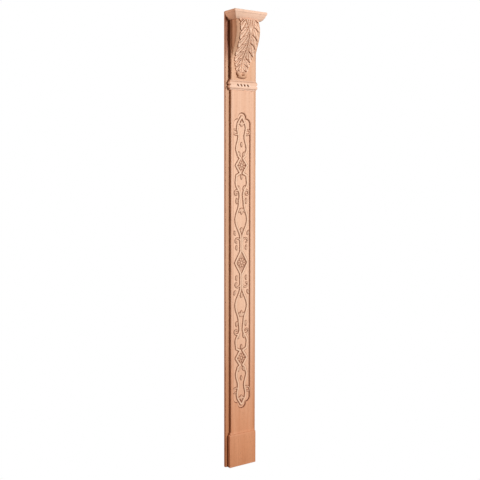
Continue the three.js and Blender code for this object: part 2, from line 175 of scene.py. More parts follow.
@dataclass(frozen=True)
class SteamedBeech:
    """Steamed beech, planed, carved and finely sanded, with no varnish.

    Steaming turns beech pink. The eye sees a pale even ground, long soft streaks of the growth
    rings, short dark ray flecks, and a dull surface with hardly any shine. Carved places are
    paler than the sanded face. The pale tone also paints highlights on raised crests, and the
    darker tone of the flecks also paints shade in corners, creases, holes, hollows and the capital's shadow
    on the board.
    """

    name: str
    face: str
    streak: str
    foot: str
    # The pale tone is that of carved wood and also paints highlights. The darker tone is that of the ray
    # flecks and also paints shade.
    cut: str
    darkening: str
    run: GrainRun = GrainRun.UPRIGHT
    bands: Grain = Grain(26.0, 900.0, detail=2.0, low=0.38, high=0.66, share=0.55)
    streaks: Grain = Grain(4.0, 170.0, detail=4.0, low=0.36, high=0.70, share=0.75)
    # Real flecks are a third of this size, and would be too fine to show.
    flecks: Grain = Grain(1.2, 9.0, detail=1.0, low=0.60, high=0.72, share=0.32)
    waviness: float = 0.4
    pore_height: float = 0.12
    pore_strength: float = 0.5
    roughness: tuple[float, float] = (0.50, 0.68)
    ior: float = 1.5
    shine: float = 0.35
    # Heights in the frame, in metres, where the darker foot tone starts and where it is full.
    # It is partly a deeper tone of the wood and partly painted shade for light falling off towards the
    # foot.
    foot_run: tuple[float, float] = (-0.1, -1.0)

    def stretch(self, grain: Grain) -> Place:
        """Scales of a pattern along X, Y and Z, in cycles a metre."""
        across, along = 1 / (grain.width * MM), 1 / (grain.length * MM)
        return (across, across, along) if self.run is GrainRun.UPRIGHT else (along, across, across)

    def material(self) -> bpy.types.Material:
        """Make the finish.

        Returns:
            A material whose grain lies in the piece's own coordinates.
        """
        made = bpy.data.materials.new(self.name)
        made.use_nodes = True
        tree = made.node_tree
        tree.nodes.clear()
        place = add_node(tree, "ShaderNodeTexCoord", {}).outputs["Object"]

        noises, shares = {}, {}
        for key, grain in (("bands", self.bands), ("streaks", self.streaks), ("flecks", self.flecks)):
            scaled = add_node(tree, "ShaderNodeMapping", {"Vector": place, "Scale": self.stretch(grain)})
            pattern = {"Vector": scaled.outputs[0], "Scale": 1.0, "Detail": grain.detail}
            noise = add_node(tree, "ShaderNodeTexNoise", {**pattern, "Distortion": self.waviness})
            noises[key] = noise.outputs[0]
            strength = {"From Min": grain.low, "From Max": grain.high, "To Max": grain.share}
            ranged = add_node(
                tree,
                "ShaderNodeMapRange",
                {"Value": noises[key], **strength},
                interpolation_type="SMOOTHSTEP",
            )
            shares[key] = ranged.outputs[0]
        height = add_node(tree, "ShaderNodeSeparateXYZ", {"Vector": place})
        foot_start, foot_full = self.foot_run
        lower = add_node(
            tree,
            "ShaderNodeMapRange",
            {"Value": height.outputs["Z"], "From Min": foot_start, "From Max": foot_full},
            interpolation_type="SMOOTHSTEP",
        )
        shares["foot"] = lower.outputs[0]
        for key in (PALE_AND_HIGHLIGHT, PAINTED_SHADE):
            shares[key] = add_node(tree, "ShaderNodeAttribute", {}, attribute_name=key).outputs["Fac"]

        colour = linear(self.face)
        for key, tone, blend in (
            ("bands", self.streak, "MIX"),
            ("streaks", self.streak, "MIX"),
            ("foot", self.foot, "MULTIPLY"),
            ("flecks", self.darkening, "MULTIPLY"),
            # The pale tone of carved wood, and a painted highlight on strap crests and band lozenges.
            (PALE_AND_HIGHLIGHT, self.cut, "MIX"),
            # The darker tone over the share of painted shade: corners, creases, holes, hollows and cast
            # shadows.
            (PAINTED_SHADE, self.darkening, "MULTIPLY"),
        ):
            tones = {0: shares[key], 6: colour, 7: linear(tone)}
            mix = add_node(tree, "ShaderNodeMix", tones, data_type="RGBA", blend_type=blend)
            colour = mix.outputs[2]
        streaks = noises["streaks"]
        smooth, rough = self.roughness
        dull = add_node(tree, "ShaderNodeMapRange", {"Value": streaks, "To Min": smooth, "To Max": rough})
        pores = add_node(
            tree,
            "ShaderNodeBump",
            {"Height": streaks, "Strength": self.pore_strength, "Distance": self.pore_height * MM},
        )
        shader = add_node(
            tree,
            "ShaderNodeBsdfPrincipled",
            {
                "Base Color": colour,
                "Roughness": dull.outputs[0],
                "IOR": self.ior,
                "Specular IOR Level": self.shine,
                "Normal": pores.outputs[0],
            },
        )
        add_node(tree, "ShaderNodeOutputMaterial", {"Surface": shader.outputs[0]})
        return made


BOARD_BEECH = SteamedBeech(
    name="steamed_beech_board", face="#DDB190", streak="#CE9F7C",
    foot="#EBCAB0", cut="#EED2BE", darkening="#9C4E18",
)
SHAFT_BEECH = SteamedBeech(
    name="steamed_beech_shaft", face="#EEC6AA", streak="#E2B292",
    foot="#EBCAB0", cut="#F5D5B9", darkening="#804E28",
)
CAPITAL_BEECH = SteamedBeech(
    name="steamed_beech_capital", face="#E4B998", streak="#DAA986",
    foot="#F0DCCC", cut="#F8D6BC", darkening="#804E28",
)
ABACUS_BEECH = SteamedBeech(
    name="steamed_beech_abacus", face="#F3D1BA", streak="#EAC2A6",
    foot="#F0DCCC", cut="#FFEEDF", darkening="#804E28", run=GrainRun.ACROSS,
)


@dataclass(frozen=True)
class Extent:
    """The room that a node's solid takes."""

    half_width: float
    depth: float
    foot: float
    top: float


@dataclass(frozen=True)
class Datum:
    """Where the pilaster's foot and its board's front lie in the frame, in metres."""

    foot: float
    board_front: float

    @classmethod
    def from_frame(cls) -> "Datum":
        """Read the datum from the board's own solid."""
        low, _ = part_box("backing_board")
        return cls(foot=low.z, board_front=low.y)

    def point(self, x: float, depth: float, up: float) -> Vector:
        """A place in the frame, from millimetres across, out and up."""
        return Vector((x * MM, self.board_front - depth * MM, self.foot + up * MM))

    def extent(self, node: str) -> Extent:
        """Measure a node.

        Args:
            node: the node's name.

        Returns:
            Its room in millimetres.
        """
        low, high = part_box(node)
        return Extent(
            half_width=(high.x - low.x) / 2 / MM,
            depth=(self.board_front - low.y) / MM,
            foot=(low.z - self.foot) / MM,
            top=(high.z - self.foot) / MM,
        )


@dataclass(frozen=True)
class Front:
    """The front of a piece, on a grid of rows up and columns across."""

    x: np.ndarray
    depth: np.ndarray
    up: np.ndarray
    cut: np.ndarray
    hollow: np.ndarray

    @classmethod
    def over(cls, *layers: np.ndarray | float) -> "Front":
        """Spread the layers, given in the order of the fields, over the whole grid."""
        return cls(*np.broadcast_arrays(*layers))


@dataclass
class Piece:
    """One piece of the pilaster, which stands for its node."""

    name: str
    node: str
    slot: str
    finish: SteamedBeech
    arris: float = 0.8
    sharp_angle: float = 50.0

    def build(self, datum: Datum) -> bmesh.types.BMesh:
        """Model the piece in the frame's metres."""
        raise NotImplementedError

    def soften(self, bm: bmesh.types.BMesh) -> None:
        """Take the sharpness off every arris, as sanding does.

        Args:
            bm: the piece's mesh, with closed outward faces.
        """
        sharp = math.radians(self.sharp_angle)
        arrises = [e for e in bm.edges if e.is_manifold and e.calc_face_angle() > sharp]
        bmesh.ops.bevel(
            bm,
            geom=arrises,
            offset=self.arris * MM,
            affect="EDGES",
            segments=2,
            profile=0.5,
            material=-1,
            clamp_overlap=True,
        )

    def dress(self, datum: Datum) -> bpy.types.Object:
        """Build the piece, give it its finish and put it in its node's place.

        Args:
            datum: the pilaster's datum.

        Returns:
            The finished object.
        """
        bm = self.build(datum)
        mesh = bpy.data.meshes.new(self.name)
        bm.to_mesh(mesh)
        bm.free()
        mesh.shade_smooth()
        mesh.set_sharp_from_angle(angle=math.radians(self.sharp_angle))
        mesh.materials.append(self.finish.material())
        made = bpy.data.objects.new(self.name, mesh)
        bpy.context.scene.collection.objects.link(made)
        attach(made, BODY)
        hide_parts(self.node)
        LOG.info("%s: %d faces", self.name, len(mesh.polygons))
        return made


@dataclass
class BackingBoard(Piece):
    """The planed board that the other pieces are fixed to.

    It has painted shade along its sides, and a painted shadow beside the capital.
    """

    side_shade: float = 0.2
    capital_shadow: float = 0.66
    shadow_start: float = 55.0
    shadow_run: float = 90.0
    shadow_steps: int = 6

    def build(self, datum: Datum) -> bmesh.types.BMesh:
        """Model the board as a block with eased arrises.

        Args:
            datum: the pilaster's datum.

        Returns:
            A closed mesh that holds its painted shade and painted shadow.
        """
        low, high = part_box(self.node)
        bm = bmesh.new()
        bmesh.ops.create_cube(bm, size=1.0)
        bmesh.ops.scale(bm, vec=high - low, verts=bm.verts)
        bmesh.ops.translate(bm, vec=(low + high) / 2, verts=bm.verts)
        self.soften(bm)
        # Painted shadow of the capital on the board's front: full beside the upper capital, fading out
        # downwards.
        start = datum.extent("capital").foot + self.shadow_start
        for up in np.linspace(start, start + self.shadow_run, self.shadow_steps + 1):
            whole = bm.verts[:] + bm.edges[:] + bm.faces[:]
            level = datum.point(0.0, 0.0, up)
            bmesh.ops.bisect_plane(bm, geom=whole, plane_co=level, plane_no=(0.0, 0.0, 1.0))
        painted_shade_layer = bm.verts.layers.float.new(PAINTED_SHADE)
        for vert in bm.verts:
            up = (vert.co.z - datum.foot) / MM
            # Painted shade along the board's sides.
            at_side = abs(vert.co.x) > high.x - self.arris / 2 * MM
            at_front = vert.co.y < datum.board_front + self.arris * MM
            darkening = self.capital_shadow * ease((up - start) / self.shadow_run) * at_front
            vert[painted_shade_layer] = max(darkening, self.side_shade * at_side)
        return bm


@dataclass
class FrontPiece(Piece):
    """A piece fixed to the board, shaped on its front and straight behind it."""

    softened: bool = True
    corner_shade: float = 0.15

    def front(self, extent: Extent) -> Front:
        """Shape the front within the room that the node takes."""
        raise NotImplementedError

    def build(self, datum: Datum) -> bmesh.types.BMesh:
        """Lay a grid over the front, and carry its rim straight back to the board.

        Args:
            datum: the pilaster's datum.

        Returns:
            A closed mesh that holds each place's pale tone and painted highlight, and its painted shade.
        """
        front = self.front(datum.extent(self.node))
        rows, columns = (n - 1 for n in front.depth.shape)
        bm = bmesh.new()
        pale_and_highlight_layer = bm.verts.layers.float.new(PALE_AND_HIGHLIGHT)
        painted_shade_layer = bm.verts.layers.float.new(PAINTED_SHADE)
        bmesh.ops.create_grid(bm, x_segments=columns, y_segments=rows, size=1.0)
        for vert in bm.verts:
            at = round((vert.co.y + 1) / 2 * rows), round((vert.co.x + 1) / 2 * columns)
            vert[pale_and_highlight_layer] = front.cut[at]
            vert[painted_shade_layer] = front.hollow[at]
            vert.co = datum.point(front.x[at], front.depth[at], front.up[at])

        rim = [e for e in bm.edges if e.is_boundary]
        carried = bmesh.ops.extrude_edge_only(bm, edges=rim)["geom"]
        for vert in carried:
            if isinstance(vert, bmesh.types.BMVert):
                vert.co.y = datum.board_front
                # Painted shade on the piece's sides, darkest where they meet the board.
                vert[painted_shade_layer] = self.corner_shade
        bmesh.ops.edgeloop_fill(bm, edges=[e for e in bm.edges if e.is_boundary])
        bmesh.ops.recalc_face_normals(bm, faces=bm.faces)
        if self.softened:
            self.soften(bm)
        return bm


@dataclass
class MouldedPiece(FrontPiece):
    """A block whose front and two ends carry one profile, mitred at the corners."""

    curve_steps: int = 10

    def profile(self, extent: Extent) -> np.ndarray:
        """Rows of setback from the widest line and height, from the foot to the top."""
        raise NotImplementedError

    def front(self, extent: Extent) -> Front:
        """Carry the profile across the front, narrower where it is set back.

        Args:
            extent: the room that the node takes.

        Returns:
            A front of two columns, one along each end.
        """
        setback, up = self.profile(extent).T[:, :, None]
        x = (extent.half_width - setback) * np.array([-1.0, 1.0])
        return Front.over(x, extent.depth - setback, up, 0.0, 0.0)


@dataclass
class PlinthBlock(MouldedPiece):
    """The plain block at the foot, with a small reversed curve under the shaft."""

    moulding: float = 20.0
    setback: float = 6.0

    def profile(self, extent: Extent) -> np.ndarray:
        """A plain face, then a reversed curve back to the shaft.

        Args:
            extent: the room that the node takes.

        Returns:
            Rows of setback and height.
        """
        shoulder = extent.top - self.moulding
        waist = shoulder + self.moulding / 2
        middle = (self.setback / 2, waist)
        lower = bend((0.0, shoulder), (0.0, waist), middle, self.curve_steps)
        upper = bend(middle, (self.setback, waist), (self.setback, extent.top), self.curve_steps)
        return np.vstack([[0.0, extent.foot], lower, upper[1:]])


@dataclass
class Abacus(MouldedPiece):
    """The cap: a square fascia over a rounded moulding."""

    fascia: float = 11.0
    quirk: float = 1.5
    setback: float = 17.5
    belly: tuple[float, float] = (6.5, 11.0)

    def profile(self, extent: Extent) -> np.ndarray:
        """A swelling curve out to a small quirk, then the fascia.

        Args:
            extent: the room that the node takes.

        Returns:
            Rows of setback and height.
        """
        belly_setback, belly_rise = self.belly
        quirk_up = extent.top - self.fascia
        swell = bend(
            (self.setback, extent.foot),
            (belly_setback, extent.foot + belly_rise),
            (self.quirk, quirk_up),
            self.curve_steps,
        )
        return np.vstack([swell, [0.0, quirk_up], [0.0, extent.top]])


@dataclass
class NeckingBand(MouldedPiece):
    """Two beads between fillets, with a pierced ribbon of slanted lozenges along the front."""

    softened: bool = False
    bead_depth: float = 23.0
    fillet: float = 5.0
    setback: float = 4.0
    groove: float = 6.0
    ribbon_setback: float = 0.4
    ribbon_end: float = 4.0
    ribbon_fade: float = 1.6
    holes: int = 4
    pitch: float = 17.5
    hole_radius: float = 3.9
    hole_stretch: float = 1.5
    hole_wall: float = 1.3
    hole_depth: float = 9.0
    lozenge_half: float = 4.2
    lozenge_reach: float = 8.0
    lozenge_rise: float = 1.8
    slant: float = 0.55
    crease_shade: float = 0.3
    crease_width: float = 2.0
    column_step: float = 0.6

    def profile(self, extent: Extent) -> np.ndarray:
        """Fillet, bead, bead and fillet.

        Args:
            extent: the room that the node takes.

        Returns:
            Rows of setback and height.
        """
        middle = (extent.foot + extent.top) / 2
        bead = middle - extent.foot - self.fillet
        rows = [np.array([[self.setback, extent.foot], [self.setback, extent.foot + self.fillet]])]
        turn = np.linspace(-math.pi / 2, math.pi / 2, 2 * self.curve_steps + 1)
        for centre in (middle - bead / 2, middle + bead / 2):
            setback = self.groove * (1 - np.cos(turn))
            rows.append(np.column_stack([setback, centre + bead / 2 * np.sin(turn)]))
        rows[-1] = rows[-1][1:]
        rows.append(np.array([[self.setback, extent.top - self.fillet], [self.setback, extent.top]]))
        return np.vstack(rows)

    def front(self, extent: Extent) -> Front:
        """Mitre the beads, and lay the pierced ribbon in the groove between them.

        Args:
            extent: the room that the node takes.

        Returns:
            The band's front, with a painted highlight on the lozenges and painted shade in the holes and
            creases.
        """
        setback, up = self.profile(extent).T[:, :, None]
        half_columns = round(extent.half_width / self.column_step)
        x = (extent.half_width - setback) * np.linspace(-1.0, 1.0, 2 * half_columns + 1)
        rise = up - (extent.foot + extent.top) / 2

        inside = ease((extent.half_width - self.ribbon_end - np.abs(x)) / self.ribbon_fade)
        between = np.abs(rise) < self.lozenge_reach
        ribbon = np.maximum(setback - self.ribbon_setback, 0.0) * inside * between
        depth = self.bead_depth - setback + ribbon
        pale = np.zeros_like(depth)
        crease = np.abs(rise) - (extent.top - extent.foot) / 2 + self.fillet
        # Painted shade along the creases where the beads meet the fillets.
        shade = self.crease_shade * bump(crease, self.crease_width)
        start = -(self.holes - 0.5) * self.pitch / 2
        for i in range(self.holes):
            hole = start + i * self.pitch
            off = x - hole + self.slant * rise
            lozenge = 1 - np.abs(off - self.pitch / 2) / self.lozenge_half
            lozenge -= np.abs(rise) / self.lozenge_reach
            proud = np.sqrt(np.clip(lozenge, 0.0, 1.0))
            depth += self.lozenge_rise * proud
            # Painted highlight on the raised lozenges.
            pale = np.maximum(pale, proud)
            away = np.hypot(off, rise / self.hole_stretch)
            pit = ease((self.hole_radius - away) / self.hole_wall)
            depth -= self.hole_depth * pit
            # Painted shade inside the drilled holes.
            shade = np.maximum(shade, pit)
        return Front.over(x, depth, up, pale, shade)


class Section(Enum):
    """The section of a carved ridge."""

    STRAP = "flat band"
    STEM = "half round"
    LEAF = "veined leaf"


@dataclass(frozen=True)
class Quarter:
    """Places over the panel's upper right quarter, as one row across and one column up.

    They run out from the panel's centre line and up from its middle.
    """

    x: np.ndarray
    up: np.ndarray


@dataclass(frozen=True)
class Ridge:
    """A carved ridge along a path of points across and up, with a width at each point."""

    path: np.ndarray
    widths: np.ndarray
    height: float
    section: Section = Section.STEM
    vein_depth: float = 0.35
    vein_width: float = 0.24

    def heights(self, quarter: Quarter) -> np.ndarray:
        """Height of the ridge over the quarter, 0 beside it.

        Args:
            quarter: the places to work out.

        Returns:
            One height for each row and column.
        """
        reach = self.widths.max() / 2
        beside = np.ones((quarter.up.size, quarter.x.size))
        for k in range(len(self.path) - 1):
            start, end = self.path[k], self.path[k + 1]
            run = end - start
            low, high = sorted((start[1], end[1]))
            rows = slice(*np.searchsorted(quarter.up[:, 0], (low - reach, high + reach)))
            off_x, off_up = quarter.x - start[0], quarter.up[rows] - start[1]
            along = np.clip((off_x * run[0] + off_up * run[1]) / (run @ run), 0.0, 1.0)
            away = np.hypot(off_x - along * run[0], off_up - along * run[1])
            half = (self.widths[k] + along * (self.widths[k + 1] - self.widths[k])) / 2
            beside[rows] = np.minimum(beside[rows], away / half)
        if self.section is Section.STRAP:
            shape = 1 - beside**6
        elif self.section is Section.STEM:
            shape = np.sqrt(1 - beside**2)
        else:
            shape = (1 - beside**4) * (1 - self.vein_depth * bump(beside, self.vein_width))
        return self.height * shape


@dataclass(frozen=True)
class Spray:
    """A tendril or a leaf on the panel's upper right quarter, with its turn and sweep in degrees."""

    x: float
    up: float
    size: float
    turn: float
    sweep: float = 0.0


@dataclass
class PanelOrnament:
    """Strapwork, tendrils, leaves and rosettes that fill the sunk panel.

    Only the upper right quarter is described. The others are its mirror images.
    """

    strap_width: float = 9.6
    strap_height: float = 4.7
    tendril_width: float = 6.5
    tendril_tip: float = 4.0
    tendril_height: float = 4.4
    tendril_eye: float = 5.0
    leaf_stem: float = 1.2
    leaf_belly: float = 0.8
    leaf_slimness: float = 0.54
    leaf_height: float = 4.7
    rosette_pitch: float = 428.0
    rosette_radius: float = 20.5
    rosette_height: float = 3.4
    petals: int = 8
    petal_notch: float = 0.24
    # A petal's cup: the share of its height at its root, and where along it the side rises.
    petal_root: float = 0.55
    cup_start: float = 0.35
    cup_run: float = 0.4
    button_radius: float = 6.5
    button_dome: float = 1.25
    ring_rise: float = 1.1
    ring_gap: float = 2.4
    ring_width: float = 1.3
    # Half the width and half the height of the straps' lozenges round the rosettes.
    middle_lozenge: tuple[float, float] = (29.0, 44.0)
    outer_lozenge: tuple[float, float] = (26.0, 30.0)
    lozenge_wall: float = 0.2
    path_steps: int = 8
    # Straps: height above the panel's middle, distance from the centre line, straight or swung.
    stations: tuple[tuple[float, float, bool], ...] = (
        (0, 33, False),
        (50, 4.5, True),
        (108, 4.5, True),
        (190, 31.5, False),
        (262, 13, False),
        (300, 9, False),
        (352, 30.5, False),
        (384, 27, False),
        (394, 7, True),
        (428, 29.5, True),
        (460, 7, True),
        (470, 19, True),
        (500, 28, False),
        (552, 16.5, False),
        (590, 23.5, False),
        (610, 20, True),
        (638, 2, True),
    )
    tendrils: tuple[Spray, ...] = (
        Spray(34, 577, 20, 215, 260),
        Spray(27, 306, 16, 134, -290),
        Spray(25, 95, 20, 180, -260),
    )
    leaves: tuple[Spray, ...] = (
        Spray(4, 606, 15, 35),
        Spray(7, 470, 19, 62),
        Spray(10, 321, 19, 70),
        Spray(24, 262, 23, 85),
        Spray(4, 238, 18, -52),
        Spray(32, 124, 19, 68),
        Spray(25, 58, 20, 85),
        Spray(0, 598, 26, 90),
        Spray(0, 527, 18, -90),
        Spray(0, 386, 18, -90),
        Spray(0, 240, 26, -90),
        Spray(0, 154, 24, -90),
    )

    def strap(self) -> Ridge:
        """The main strap, swinging from belly to waist and straight round the rosettes.

        Returns:
            A flat ridge of one width.
        """
        points = [np.array(self.stations[0][1::-1], float)]
        for (up0, out0, _), (up1, out1, straight) in zip(self.stations, self.stations[1:]):
            for part in np.linspace(0.0, 1.0, self.path_steps + 1)[1:]:
                swing = part if straight else (1 - math.cos(math.pi * part)) / 2
                points.append(np.array([out0 + swing * (out1 - out0), up0 + part * (up1 - up0)]))
        widths = np.full(len(points), self.strap_width)
        return Ridge(np.array(points), widths, self.strap_height, Section.STRAP)

    def tendril(self, spray: Spray) -> Ridge:
        """A stem that winds in to an eye.

        Args:
            spray: the spiral's centre, first radius, first angle and sweep.

        Returns:
            The tapering ridge.
        """
        part = np.linspace(0.0, 1.0, 3 * self.path_steps)
        angle = np.radians(spray.turn + spray.sweep * part)
        radius = spray.size * (self.tendril_eye / spray.size) ** part
        path = np.column_stack([spray.x + radius * np.cos(angle), spray.up + radius * np.sin(angle)])
        widths = self.tendril_width + part * (self.tendril_tip - self.tendril_width)
        widths[-1] = self.tendril_width
        return Ridge(path, widths, self.tendril_height)

    def leaf(self, spray: Spray) -> Ridge:
        """A small leaf.

        Args:
            spray: the stem's end, the leaf's length and its turn from straight out.

        Returns:
            A ridge that swells and comes to a point.
        """
        part = np.linspace(0.0, 1.0, self.path_steps)
        angle = math.radians(spray.turn)
        path = np.column_stack(
            [
                spray.x + spray.size * part * math.cos(angle),
                spray.up + spray.size * part * math.sin(angle),
            ]
        )
        swell = np.sin(math.pi * part**self.leaf_belly)
        widths = self.leaf_stem + spray.size * self.leaf_slimness * swell
        return Ridge(path, widths, self.leaf_height, Section.LEAF)

    def rosette(self, quarter: Quarter, middle: float) -> np.ndarray:
        """Height of a flower: cupped petals and a ring round a raised button.

        Args:
            quarter: the places to work out.
            middle: the flower's height above the panel's middle.

        Returns:
            One height for each row and column, 0 outside the flower.
        """
        away = np.hypot(quarter.x, quarter.up - middle)
        crest = np.abs(np.sin(self.petals * np.arctan2(quarter.x, quarter.up - middle) / 2))
        share = away / (self.rosette_radius * (1 - self.petal_notch * (1 - crest)))
        cup = self.petal_root + (1 - self.petal_root) * ease((share - self.cup_start) / self.cup_run)
        petals = np.sqrt(crest) * cup * np.sqrt(np.clip(1 - share**6, 0.0, 1.0))
        ring = self.ring_rise * bump(away - self.button_radius - self.ring_gap, self.ring_width)
        dome = np.sqrt(np.clip(self.button_dome - (away / self.button_radius) ** 2, 0.0, None))
        button = np.where(away < self.button_radius, dome, 0.0)
        return self.rosette_height * np.max([petals, ring, button], axis=0)

    def lozenge(self, quarter: Quarter) -> np.ndarray:
        """Where the straps form lozenges round the rosettes.

        Args:
            quarter: the places to work out.

        Returns:
            A share for each row and column, 1 well inside a lozenge and 0 outside.
        """
        share = np.zeros((quarter.up.size, quarter.x.size))
        for middle, (half_width, half_height) in (
            (0.0, self.middle_lozenge),
            (self.rosette_pitch, self.outer_lozenge),
        ):
            inside = 1 - quarter.x / half_width - np.abs(quarter.up - middle) / half_height
            share = np.maximum(share, ease(inside / self.lozenge_wall))
        return share

    def heights(self, quarter: Quarter) -> np.ndarray:
        """Height of all the ornament above the panel's floor.

        Args:
            quarter: the places to work out.

        Returns:
            One height for each row and column.
        """
        ridges = [self.strap()]
        ridges += [self.tendril(spray) for spray in self.tendrils]
        ridges += [self.leaf(spray) for spray in self.leaves]
        layers = [ridge.heights(quarter) for ridge in ridges]
        layers += [self.rosette(quarter, middle) for middle in (0.0, self.rosette_pitch)]
        return np.max(layers, axis=0)


@dataclass
class CarvedShaft(FrontPiece):
    """The shaft, with a long sunk panel full of strapwork."""

    softened: bool = False
    sharp_angle: float = 62.0
    hollow_reach: int = 2
    hollow_full: float = 0.75
    panel_middle: float = 917.0
    panel_shift: float = -2.0
    panel_half_width: float = 46.5
    panel_half_length: float = 659.0
    panel_depth: float = 6.2
    panel_slope: float = 4.0
    head_half_width: float = 24.0
    head_rise: float = 26.0
    shoulder_rise: float = 27.0
    lozenge_shade: float = 0.36
    tool_mark: float = 0.14
    # The gouge's strokes, in cycles a millimetre across and up.
    tool_strokes: tuple[Point, ...] = ((0.11, 0.043), (-0.07, 0.061), (0.05, -0.027))
    paring: float = 1.8
    pale_cut: float = 0.3
    crest_highlight: float = 0.85
    crest_start: float = 0.25
    column_step: float = 1.2
    row_step: float = 1.4
    plain_step: float = 14.0
    ornament: PanelOrnament = field(default_factory=PanelOrnament)

    def inside(self, quarter: Quarter) -> np.ndarray:
        """Distance inside the panel's edge: straight sides, rounded shoulders, a round head.

        Args:
            quarter: the places to work out.

        Returns:
            Millimetres for each row and column, below 0 outside.
        """
        cusp = self.panel_half_length - self.head_rise
        spring = cusp - self.shoulder_rise
        shoulder = self.panel_half_width - self.head_half_width
        over = np.clip(quarter.up - spring, 0.0, None) / self.shoulder_rise
        out = np.clip(quarter.x - self.head_half_width, 0.0, None) / shoulder
        body = (1 - np.hypot(out, over)) * shoulder
        above = np.clip(quarter.up - cusp, 0.0, None) / self.head_rise
        head = (1 - np.hypot(quarter.x / self.head_half_width, above)) * self.head_half_width
        return np.maximum(body, head)

    def carve(self, quarter: Quarter) -> tuple[np.ndarray, np.ndarray, np.ndarray]:
        """Sinking of the panel, its pale tone and painted highlights, and its painted shade.

        Args:
            quarter: the places to work out.

        Returns:
            Millimetres below the shaft's face, a share of pale tone (fresh wood on the floor, a painted
            highlight on the strap crests) and a share of painted shade, each for every row and column.
        """
        edge = self.inside(quarter)
        lozenge = self.ornament.lozenge(quarter)
        marks = np.zeros_like(edge)
        for across, along in self.tool_strokes:
            marks += np.sin(2 * math.pi * (across * quarter.x + along * quarter.up))
        floor = self.panel_depth * ease(edge / self.panel_slope)
        floor += self.tool_mark * marks * ease(edge / (2 * self.panel_slope))
        # Paring leaves no tool marks inside the lozenges. The panel's depth is held everywhere.
        floor += self.paring * lozenge
        height = self.ornament.heights(quarter)
        sunk = np.minimum(floor, self.panel_depth - height)
        # Painted shade in the carving's hollows, and darker inside the lozenges round the rosettes.
        darkening = hollows(-sunk, self.hollow_reach, self.hollow_full)
        darkening += self.lozenge_shade * lozenge * ease(sunk / self.panel_depth) ** 2
        crest = ease(height / self.ornament.strap_height - self.crest_start)
        # The floor takes the pale tone of fresh wood. The strap crests take a painted highlight.
        pale = np.maximum(self.pale_cut * sunk / self.panel_depth, self.crest_highlight * crest * (edge > 0))
        return sunk, pale, np.clip(darkening, 0.0, 1.0)

    def front(self, extent: Extent) -> Front:
        """Mirror the quarter to the whole panel, and add the plain wood round it.

        Args:
            extent: the room that the node takes.

        Returns:
            The shaft's front, with its two long arrises eased.
        """
        rim = self.panel_half_width + self.panel_slope / 2
        x = np.linspace(0.0, rim, round(rim / self.column_step) + 1)
        reach = self.panel_half_length + self.panel_slope
        up = np.linspace(0.0, reach, round(reach / self.row_step) + 1)
        carved = self.carve(Quarter(x[None, :], up[:, None]))
        halves = [np.hstack([part[:, :0:-1], part]) for part in carved]
        sunk, pale, darkening = (np.vstack([half[:0:-1], half]) for half in halves)

        sides = np.array([extent.half_width - self.arris, extent.half_width])
        panel = self.panel_shift + np.concatenate([-x[:0:-1], x])
        columns = np.concatenate([-sides[::-1], panel, sides])
        rows = self.panel_middle + np.concatenate([-up[:0:-1], up])
        below = np.arange(extent.foot, rows[0], self.plain_step)
        above = np.arange(extent.top, rows[-1], -self.plain_step)[::-1]
        rows = np.concatenate([below, rows, above])
        plain = (below.size, above.size), (sides.size, sides.size)
        sunk, pale, darkening = (np.pad(part, plain) for part in (sunk, pale, darkening))
        depth = extent.depth - sunk
        depth[:, [0, -1]] -= self.arris
        return Front.over(columns, depth, rows[:, None], pale, darkening)


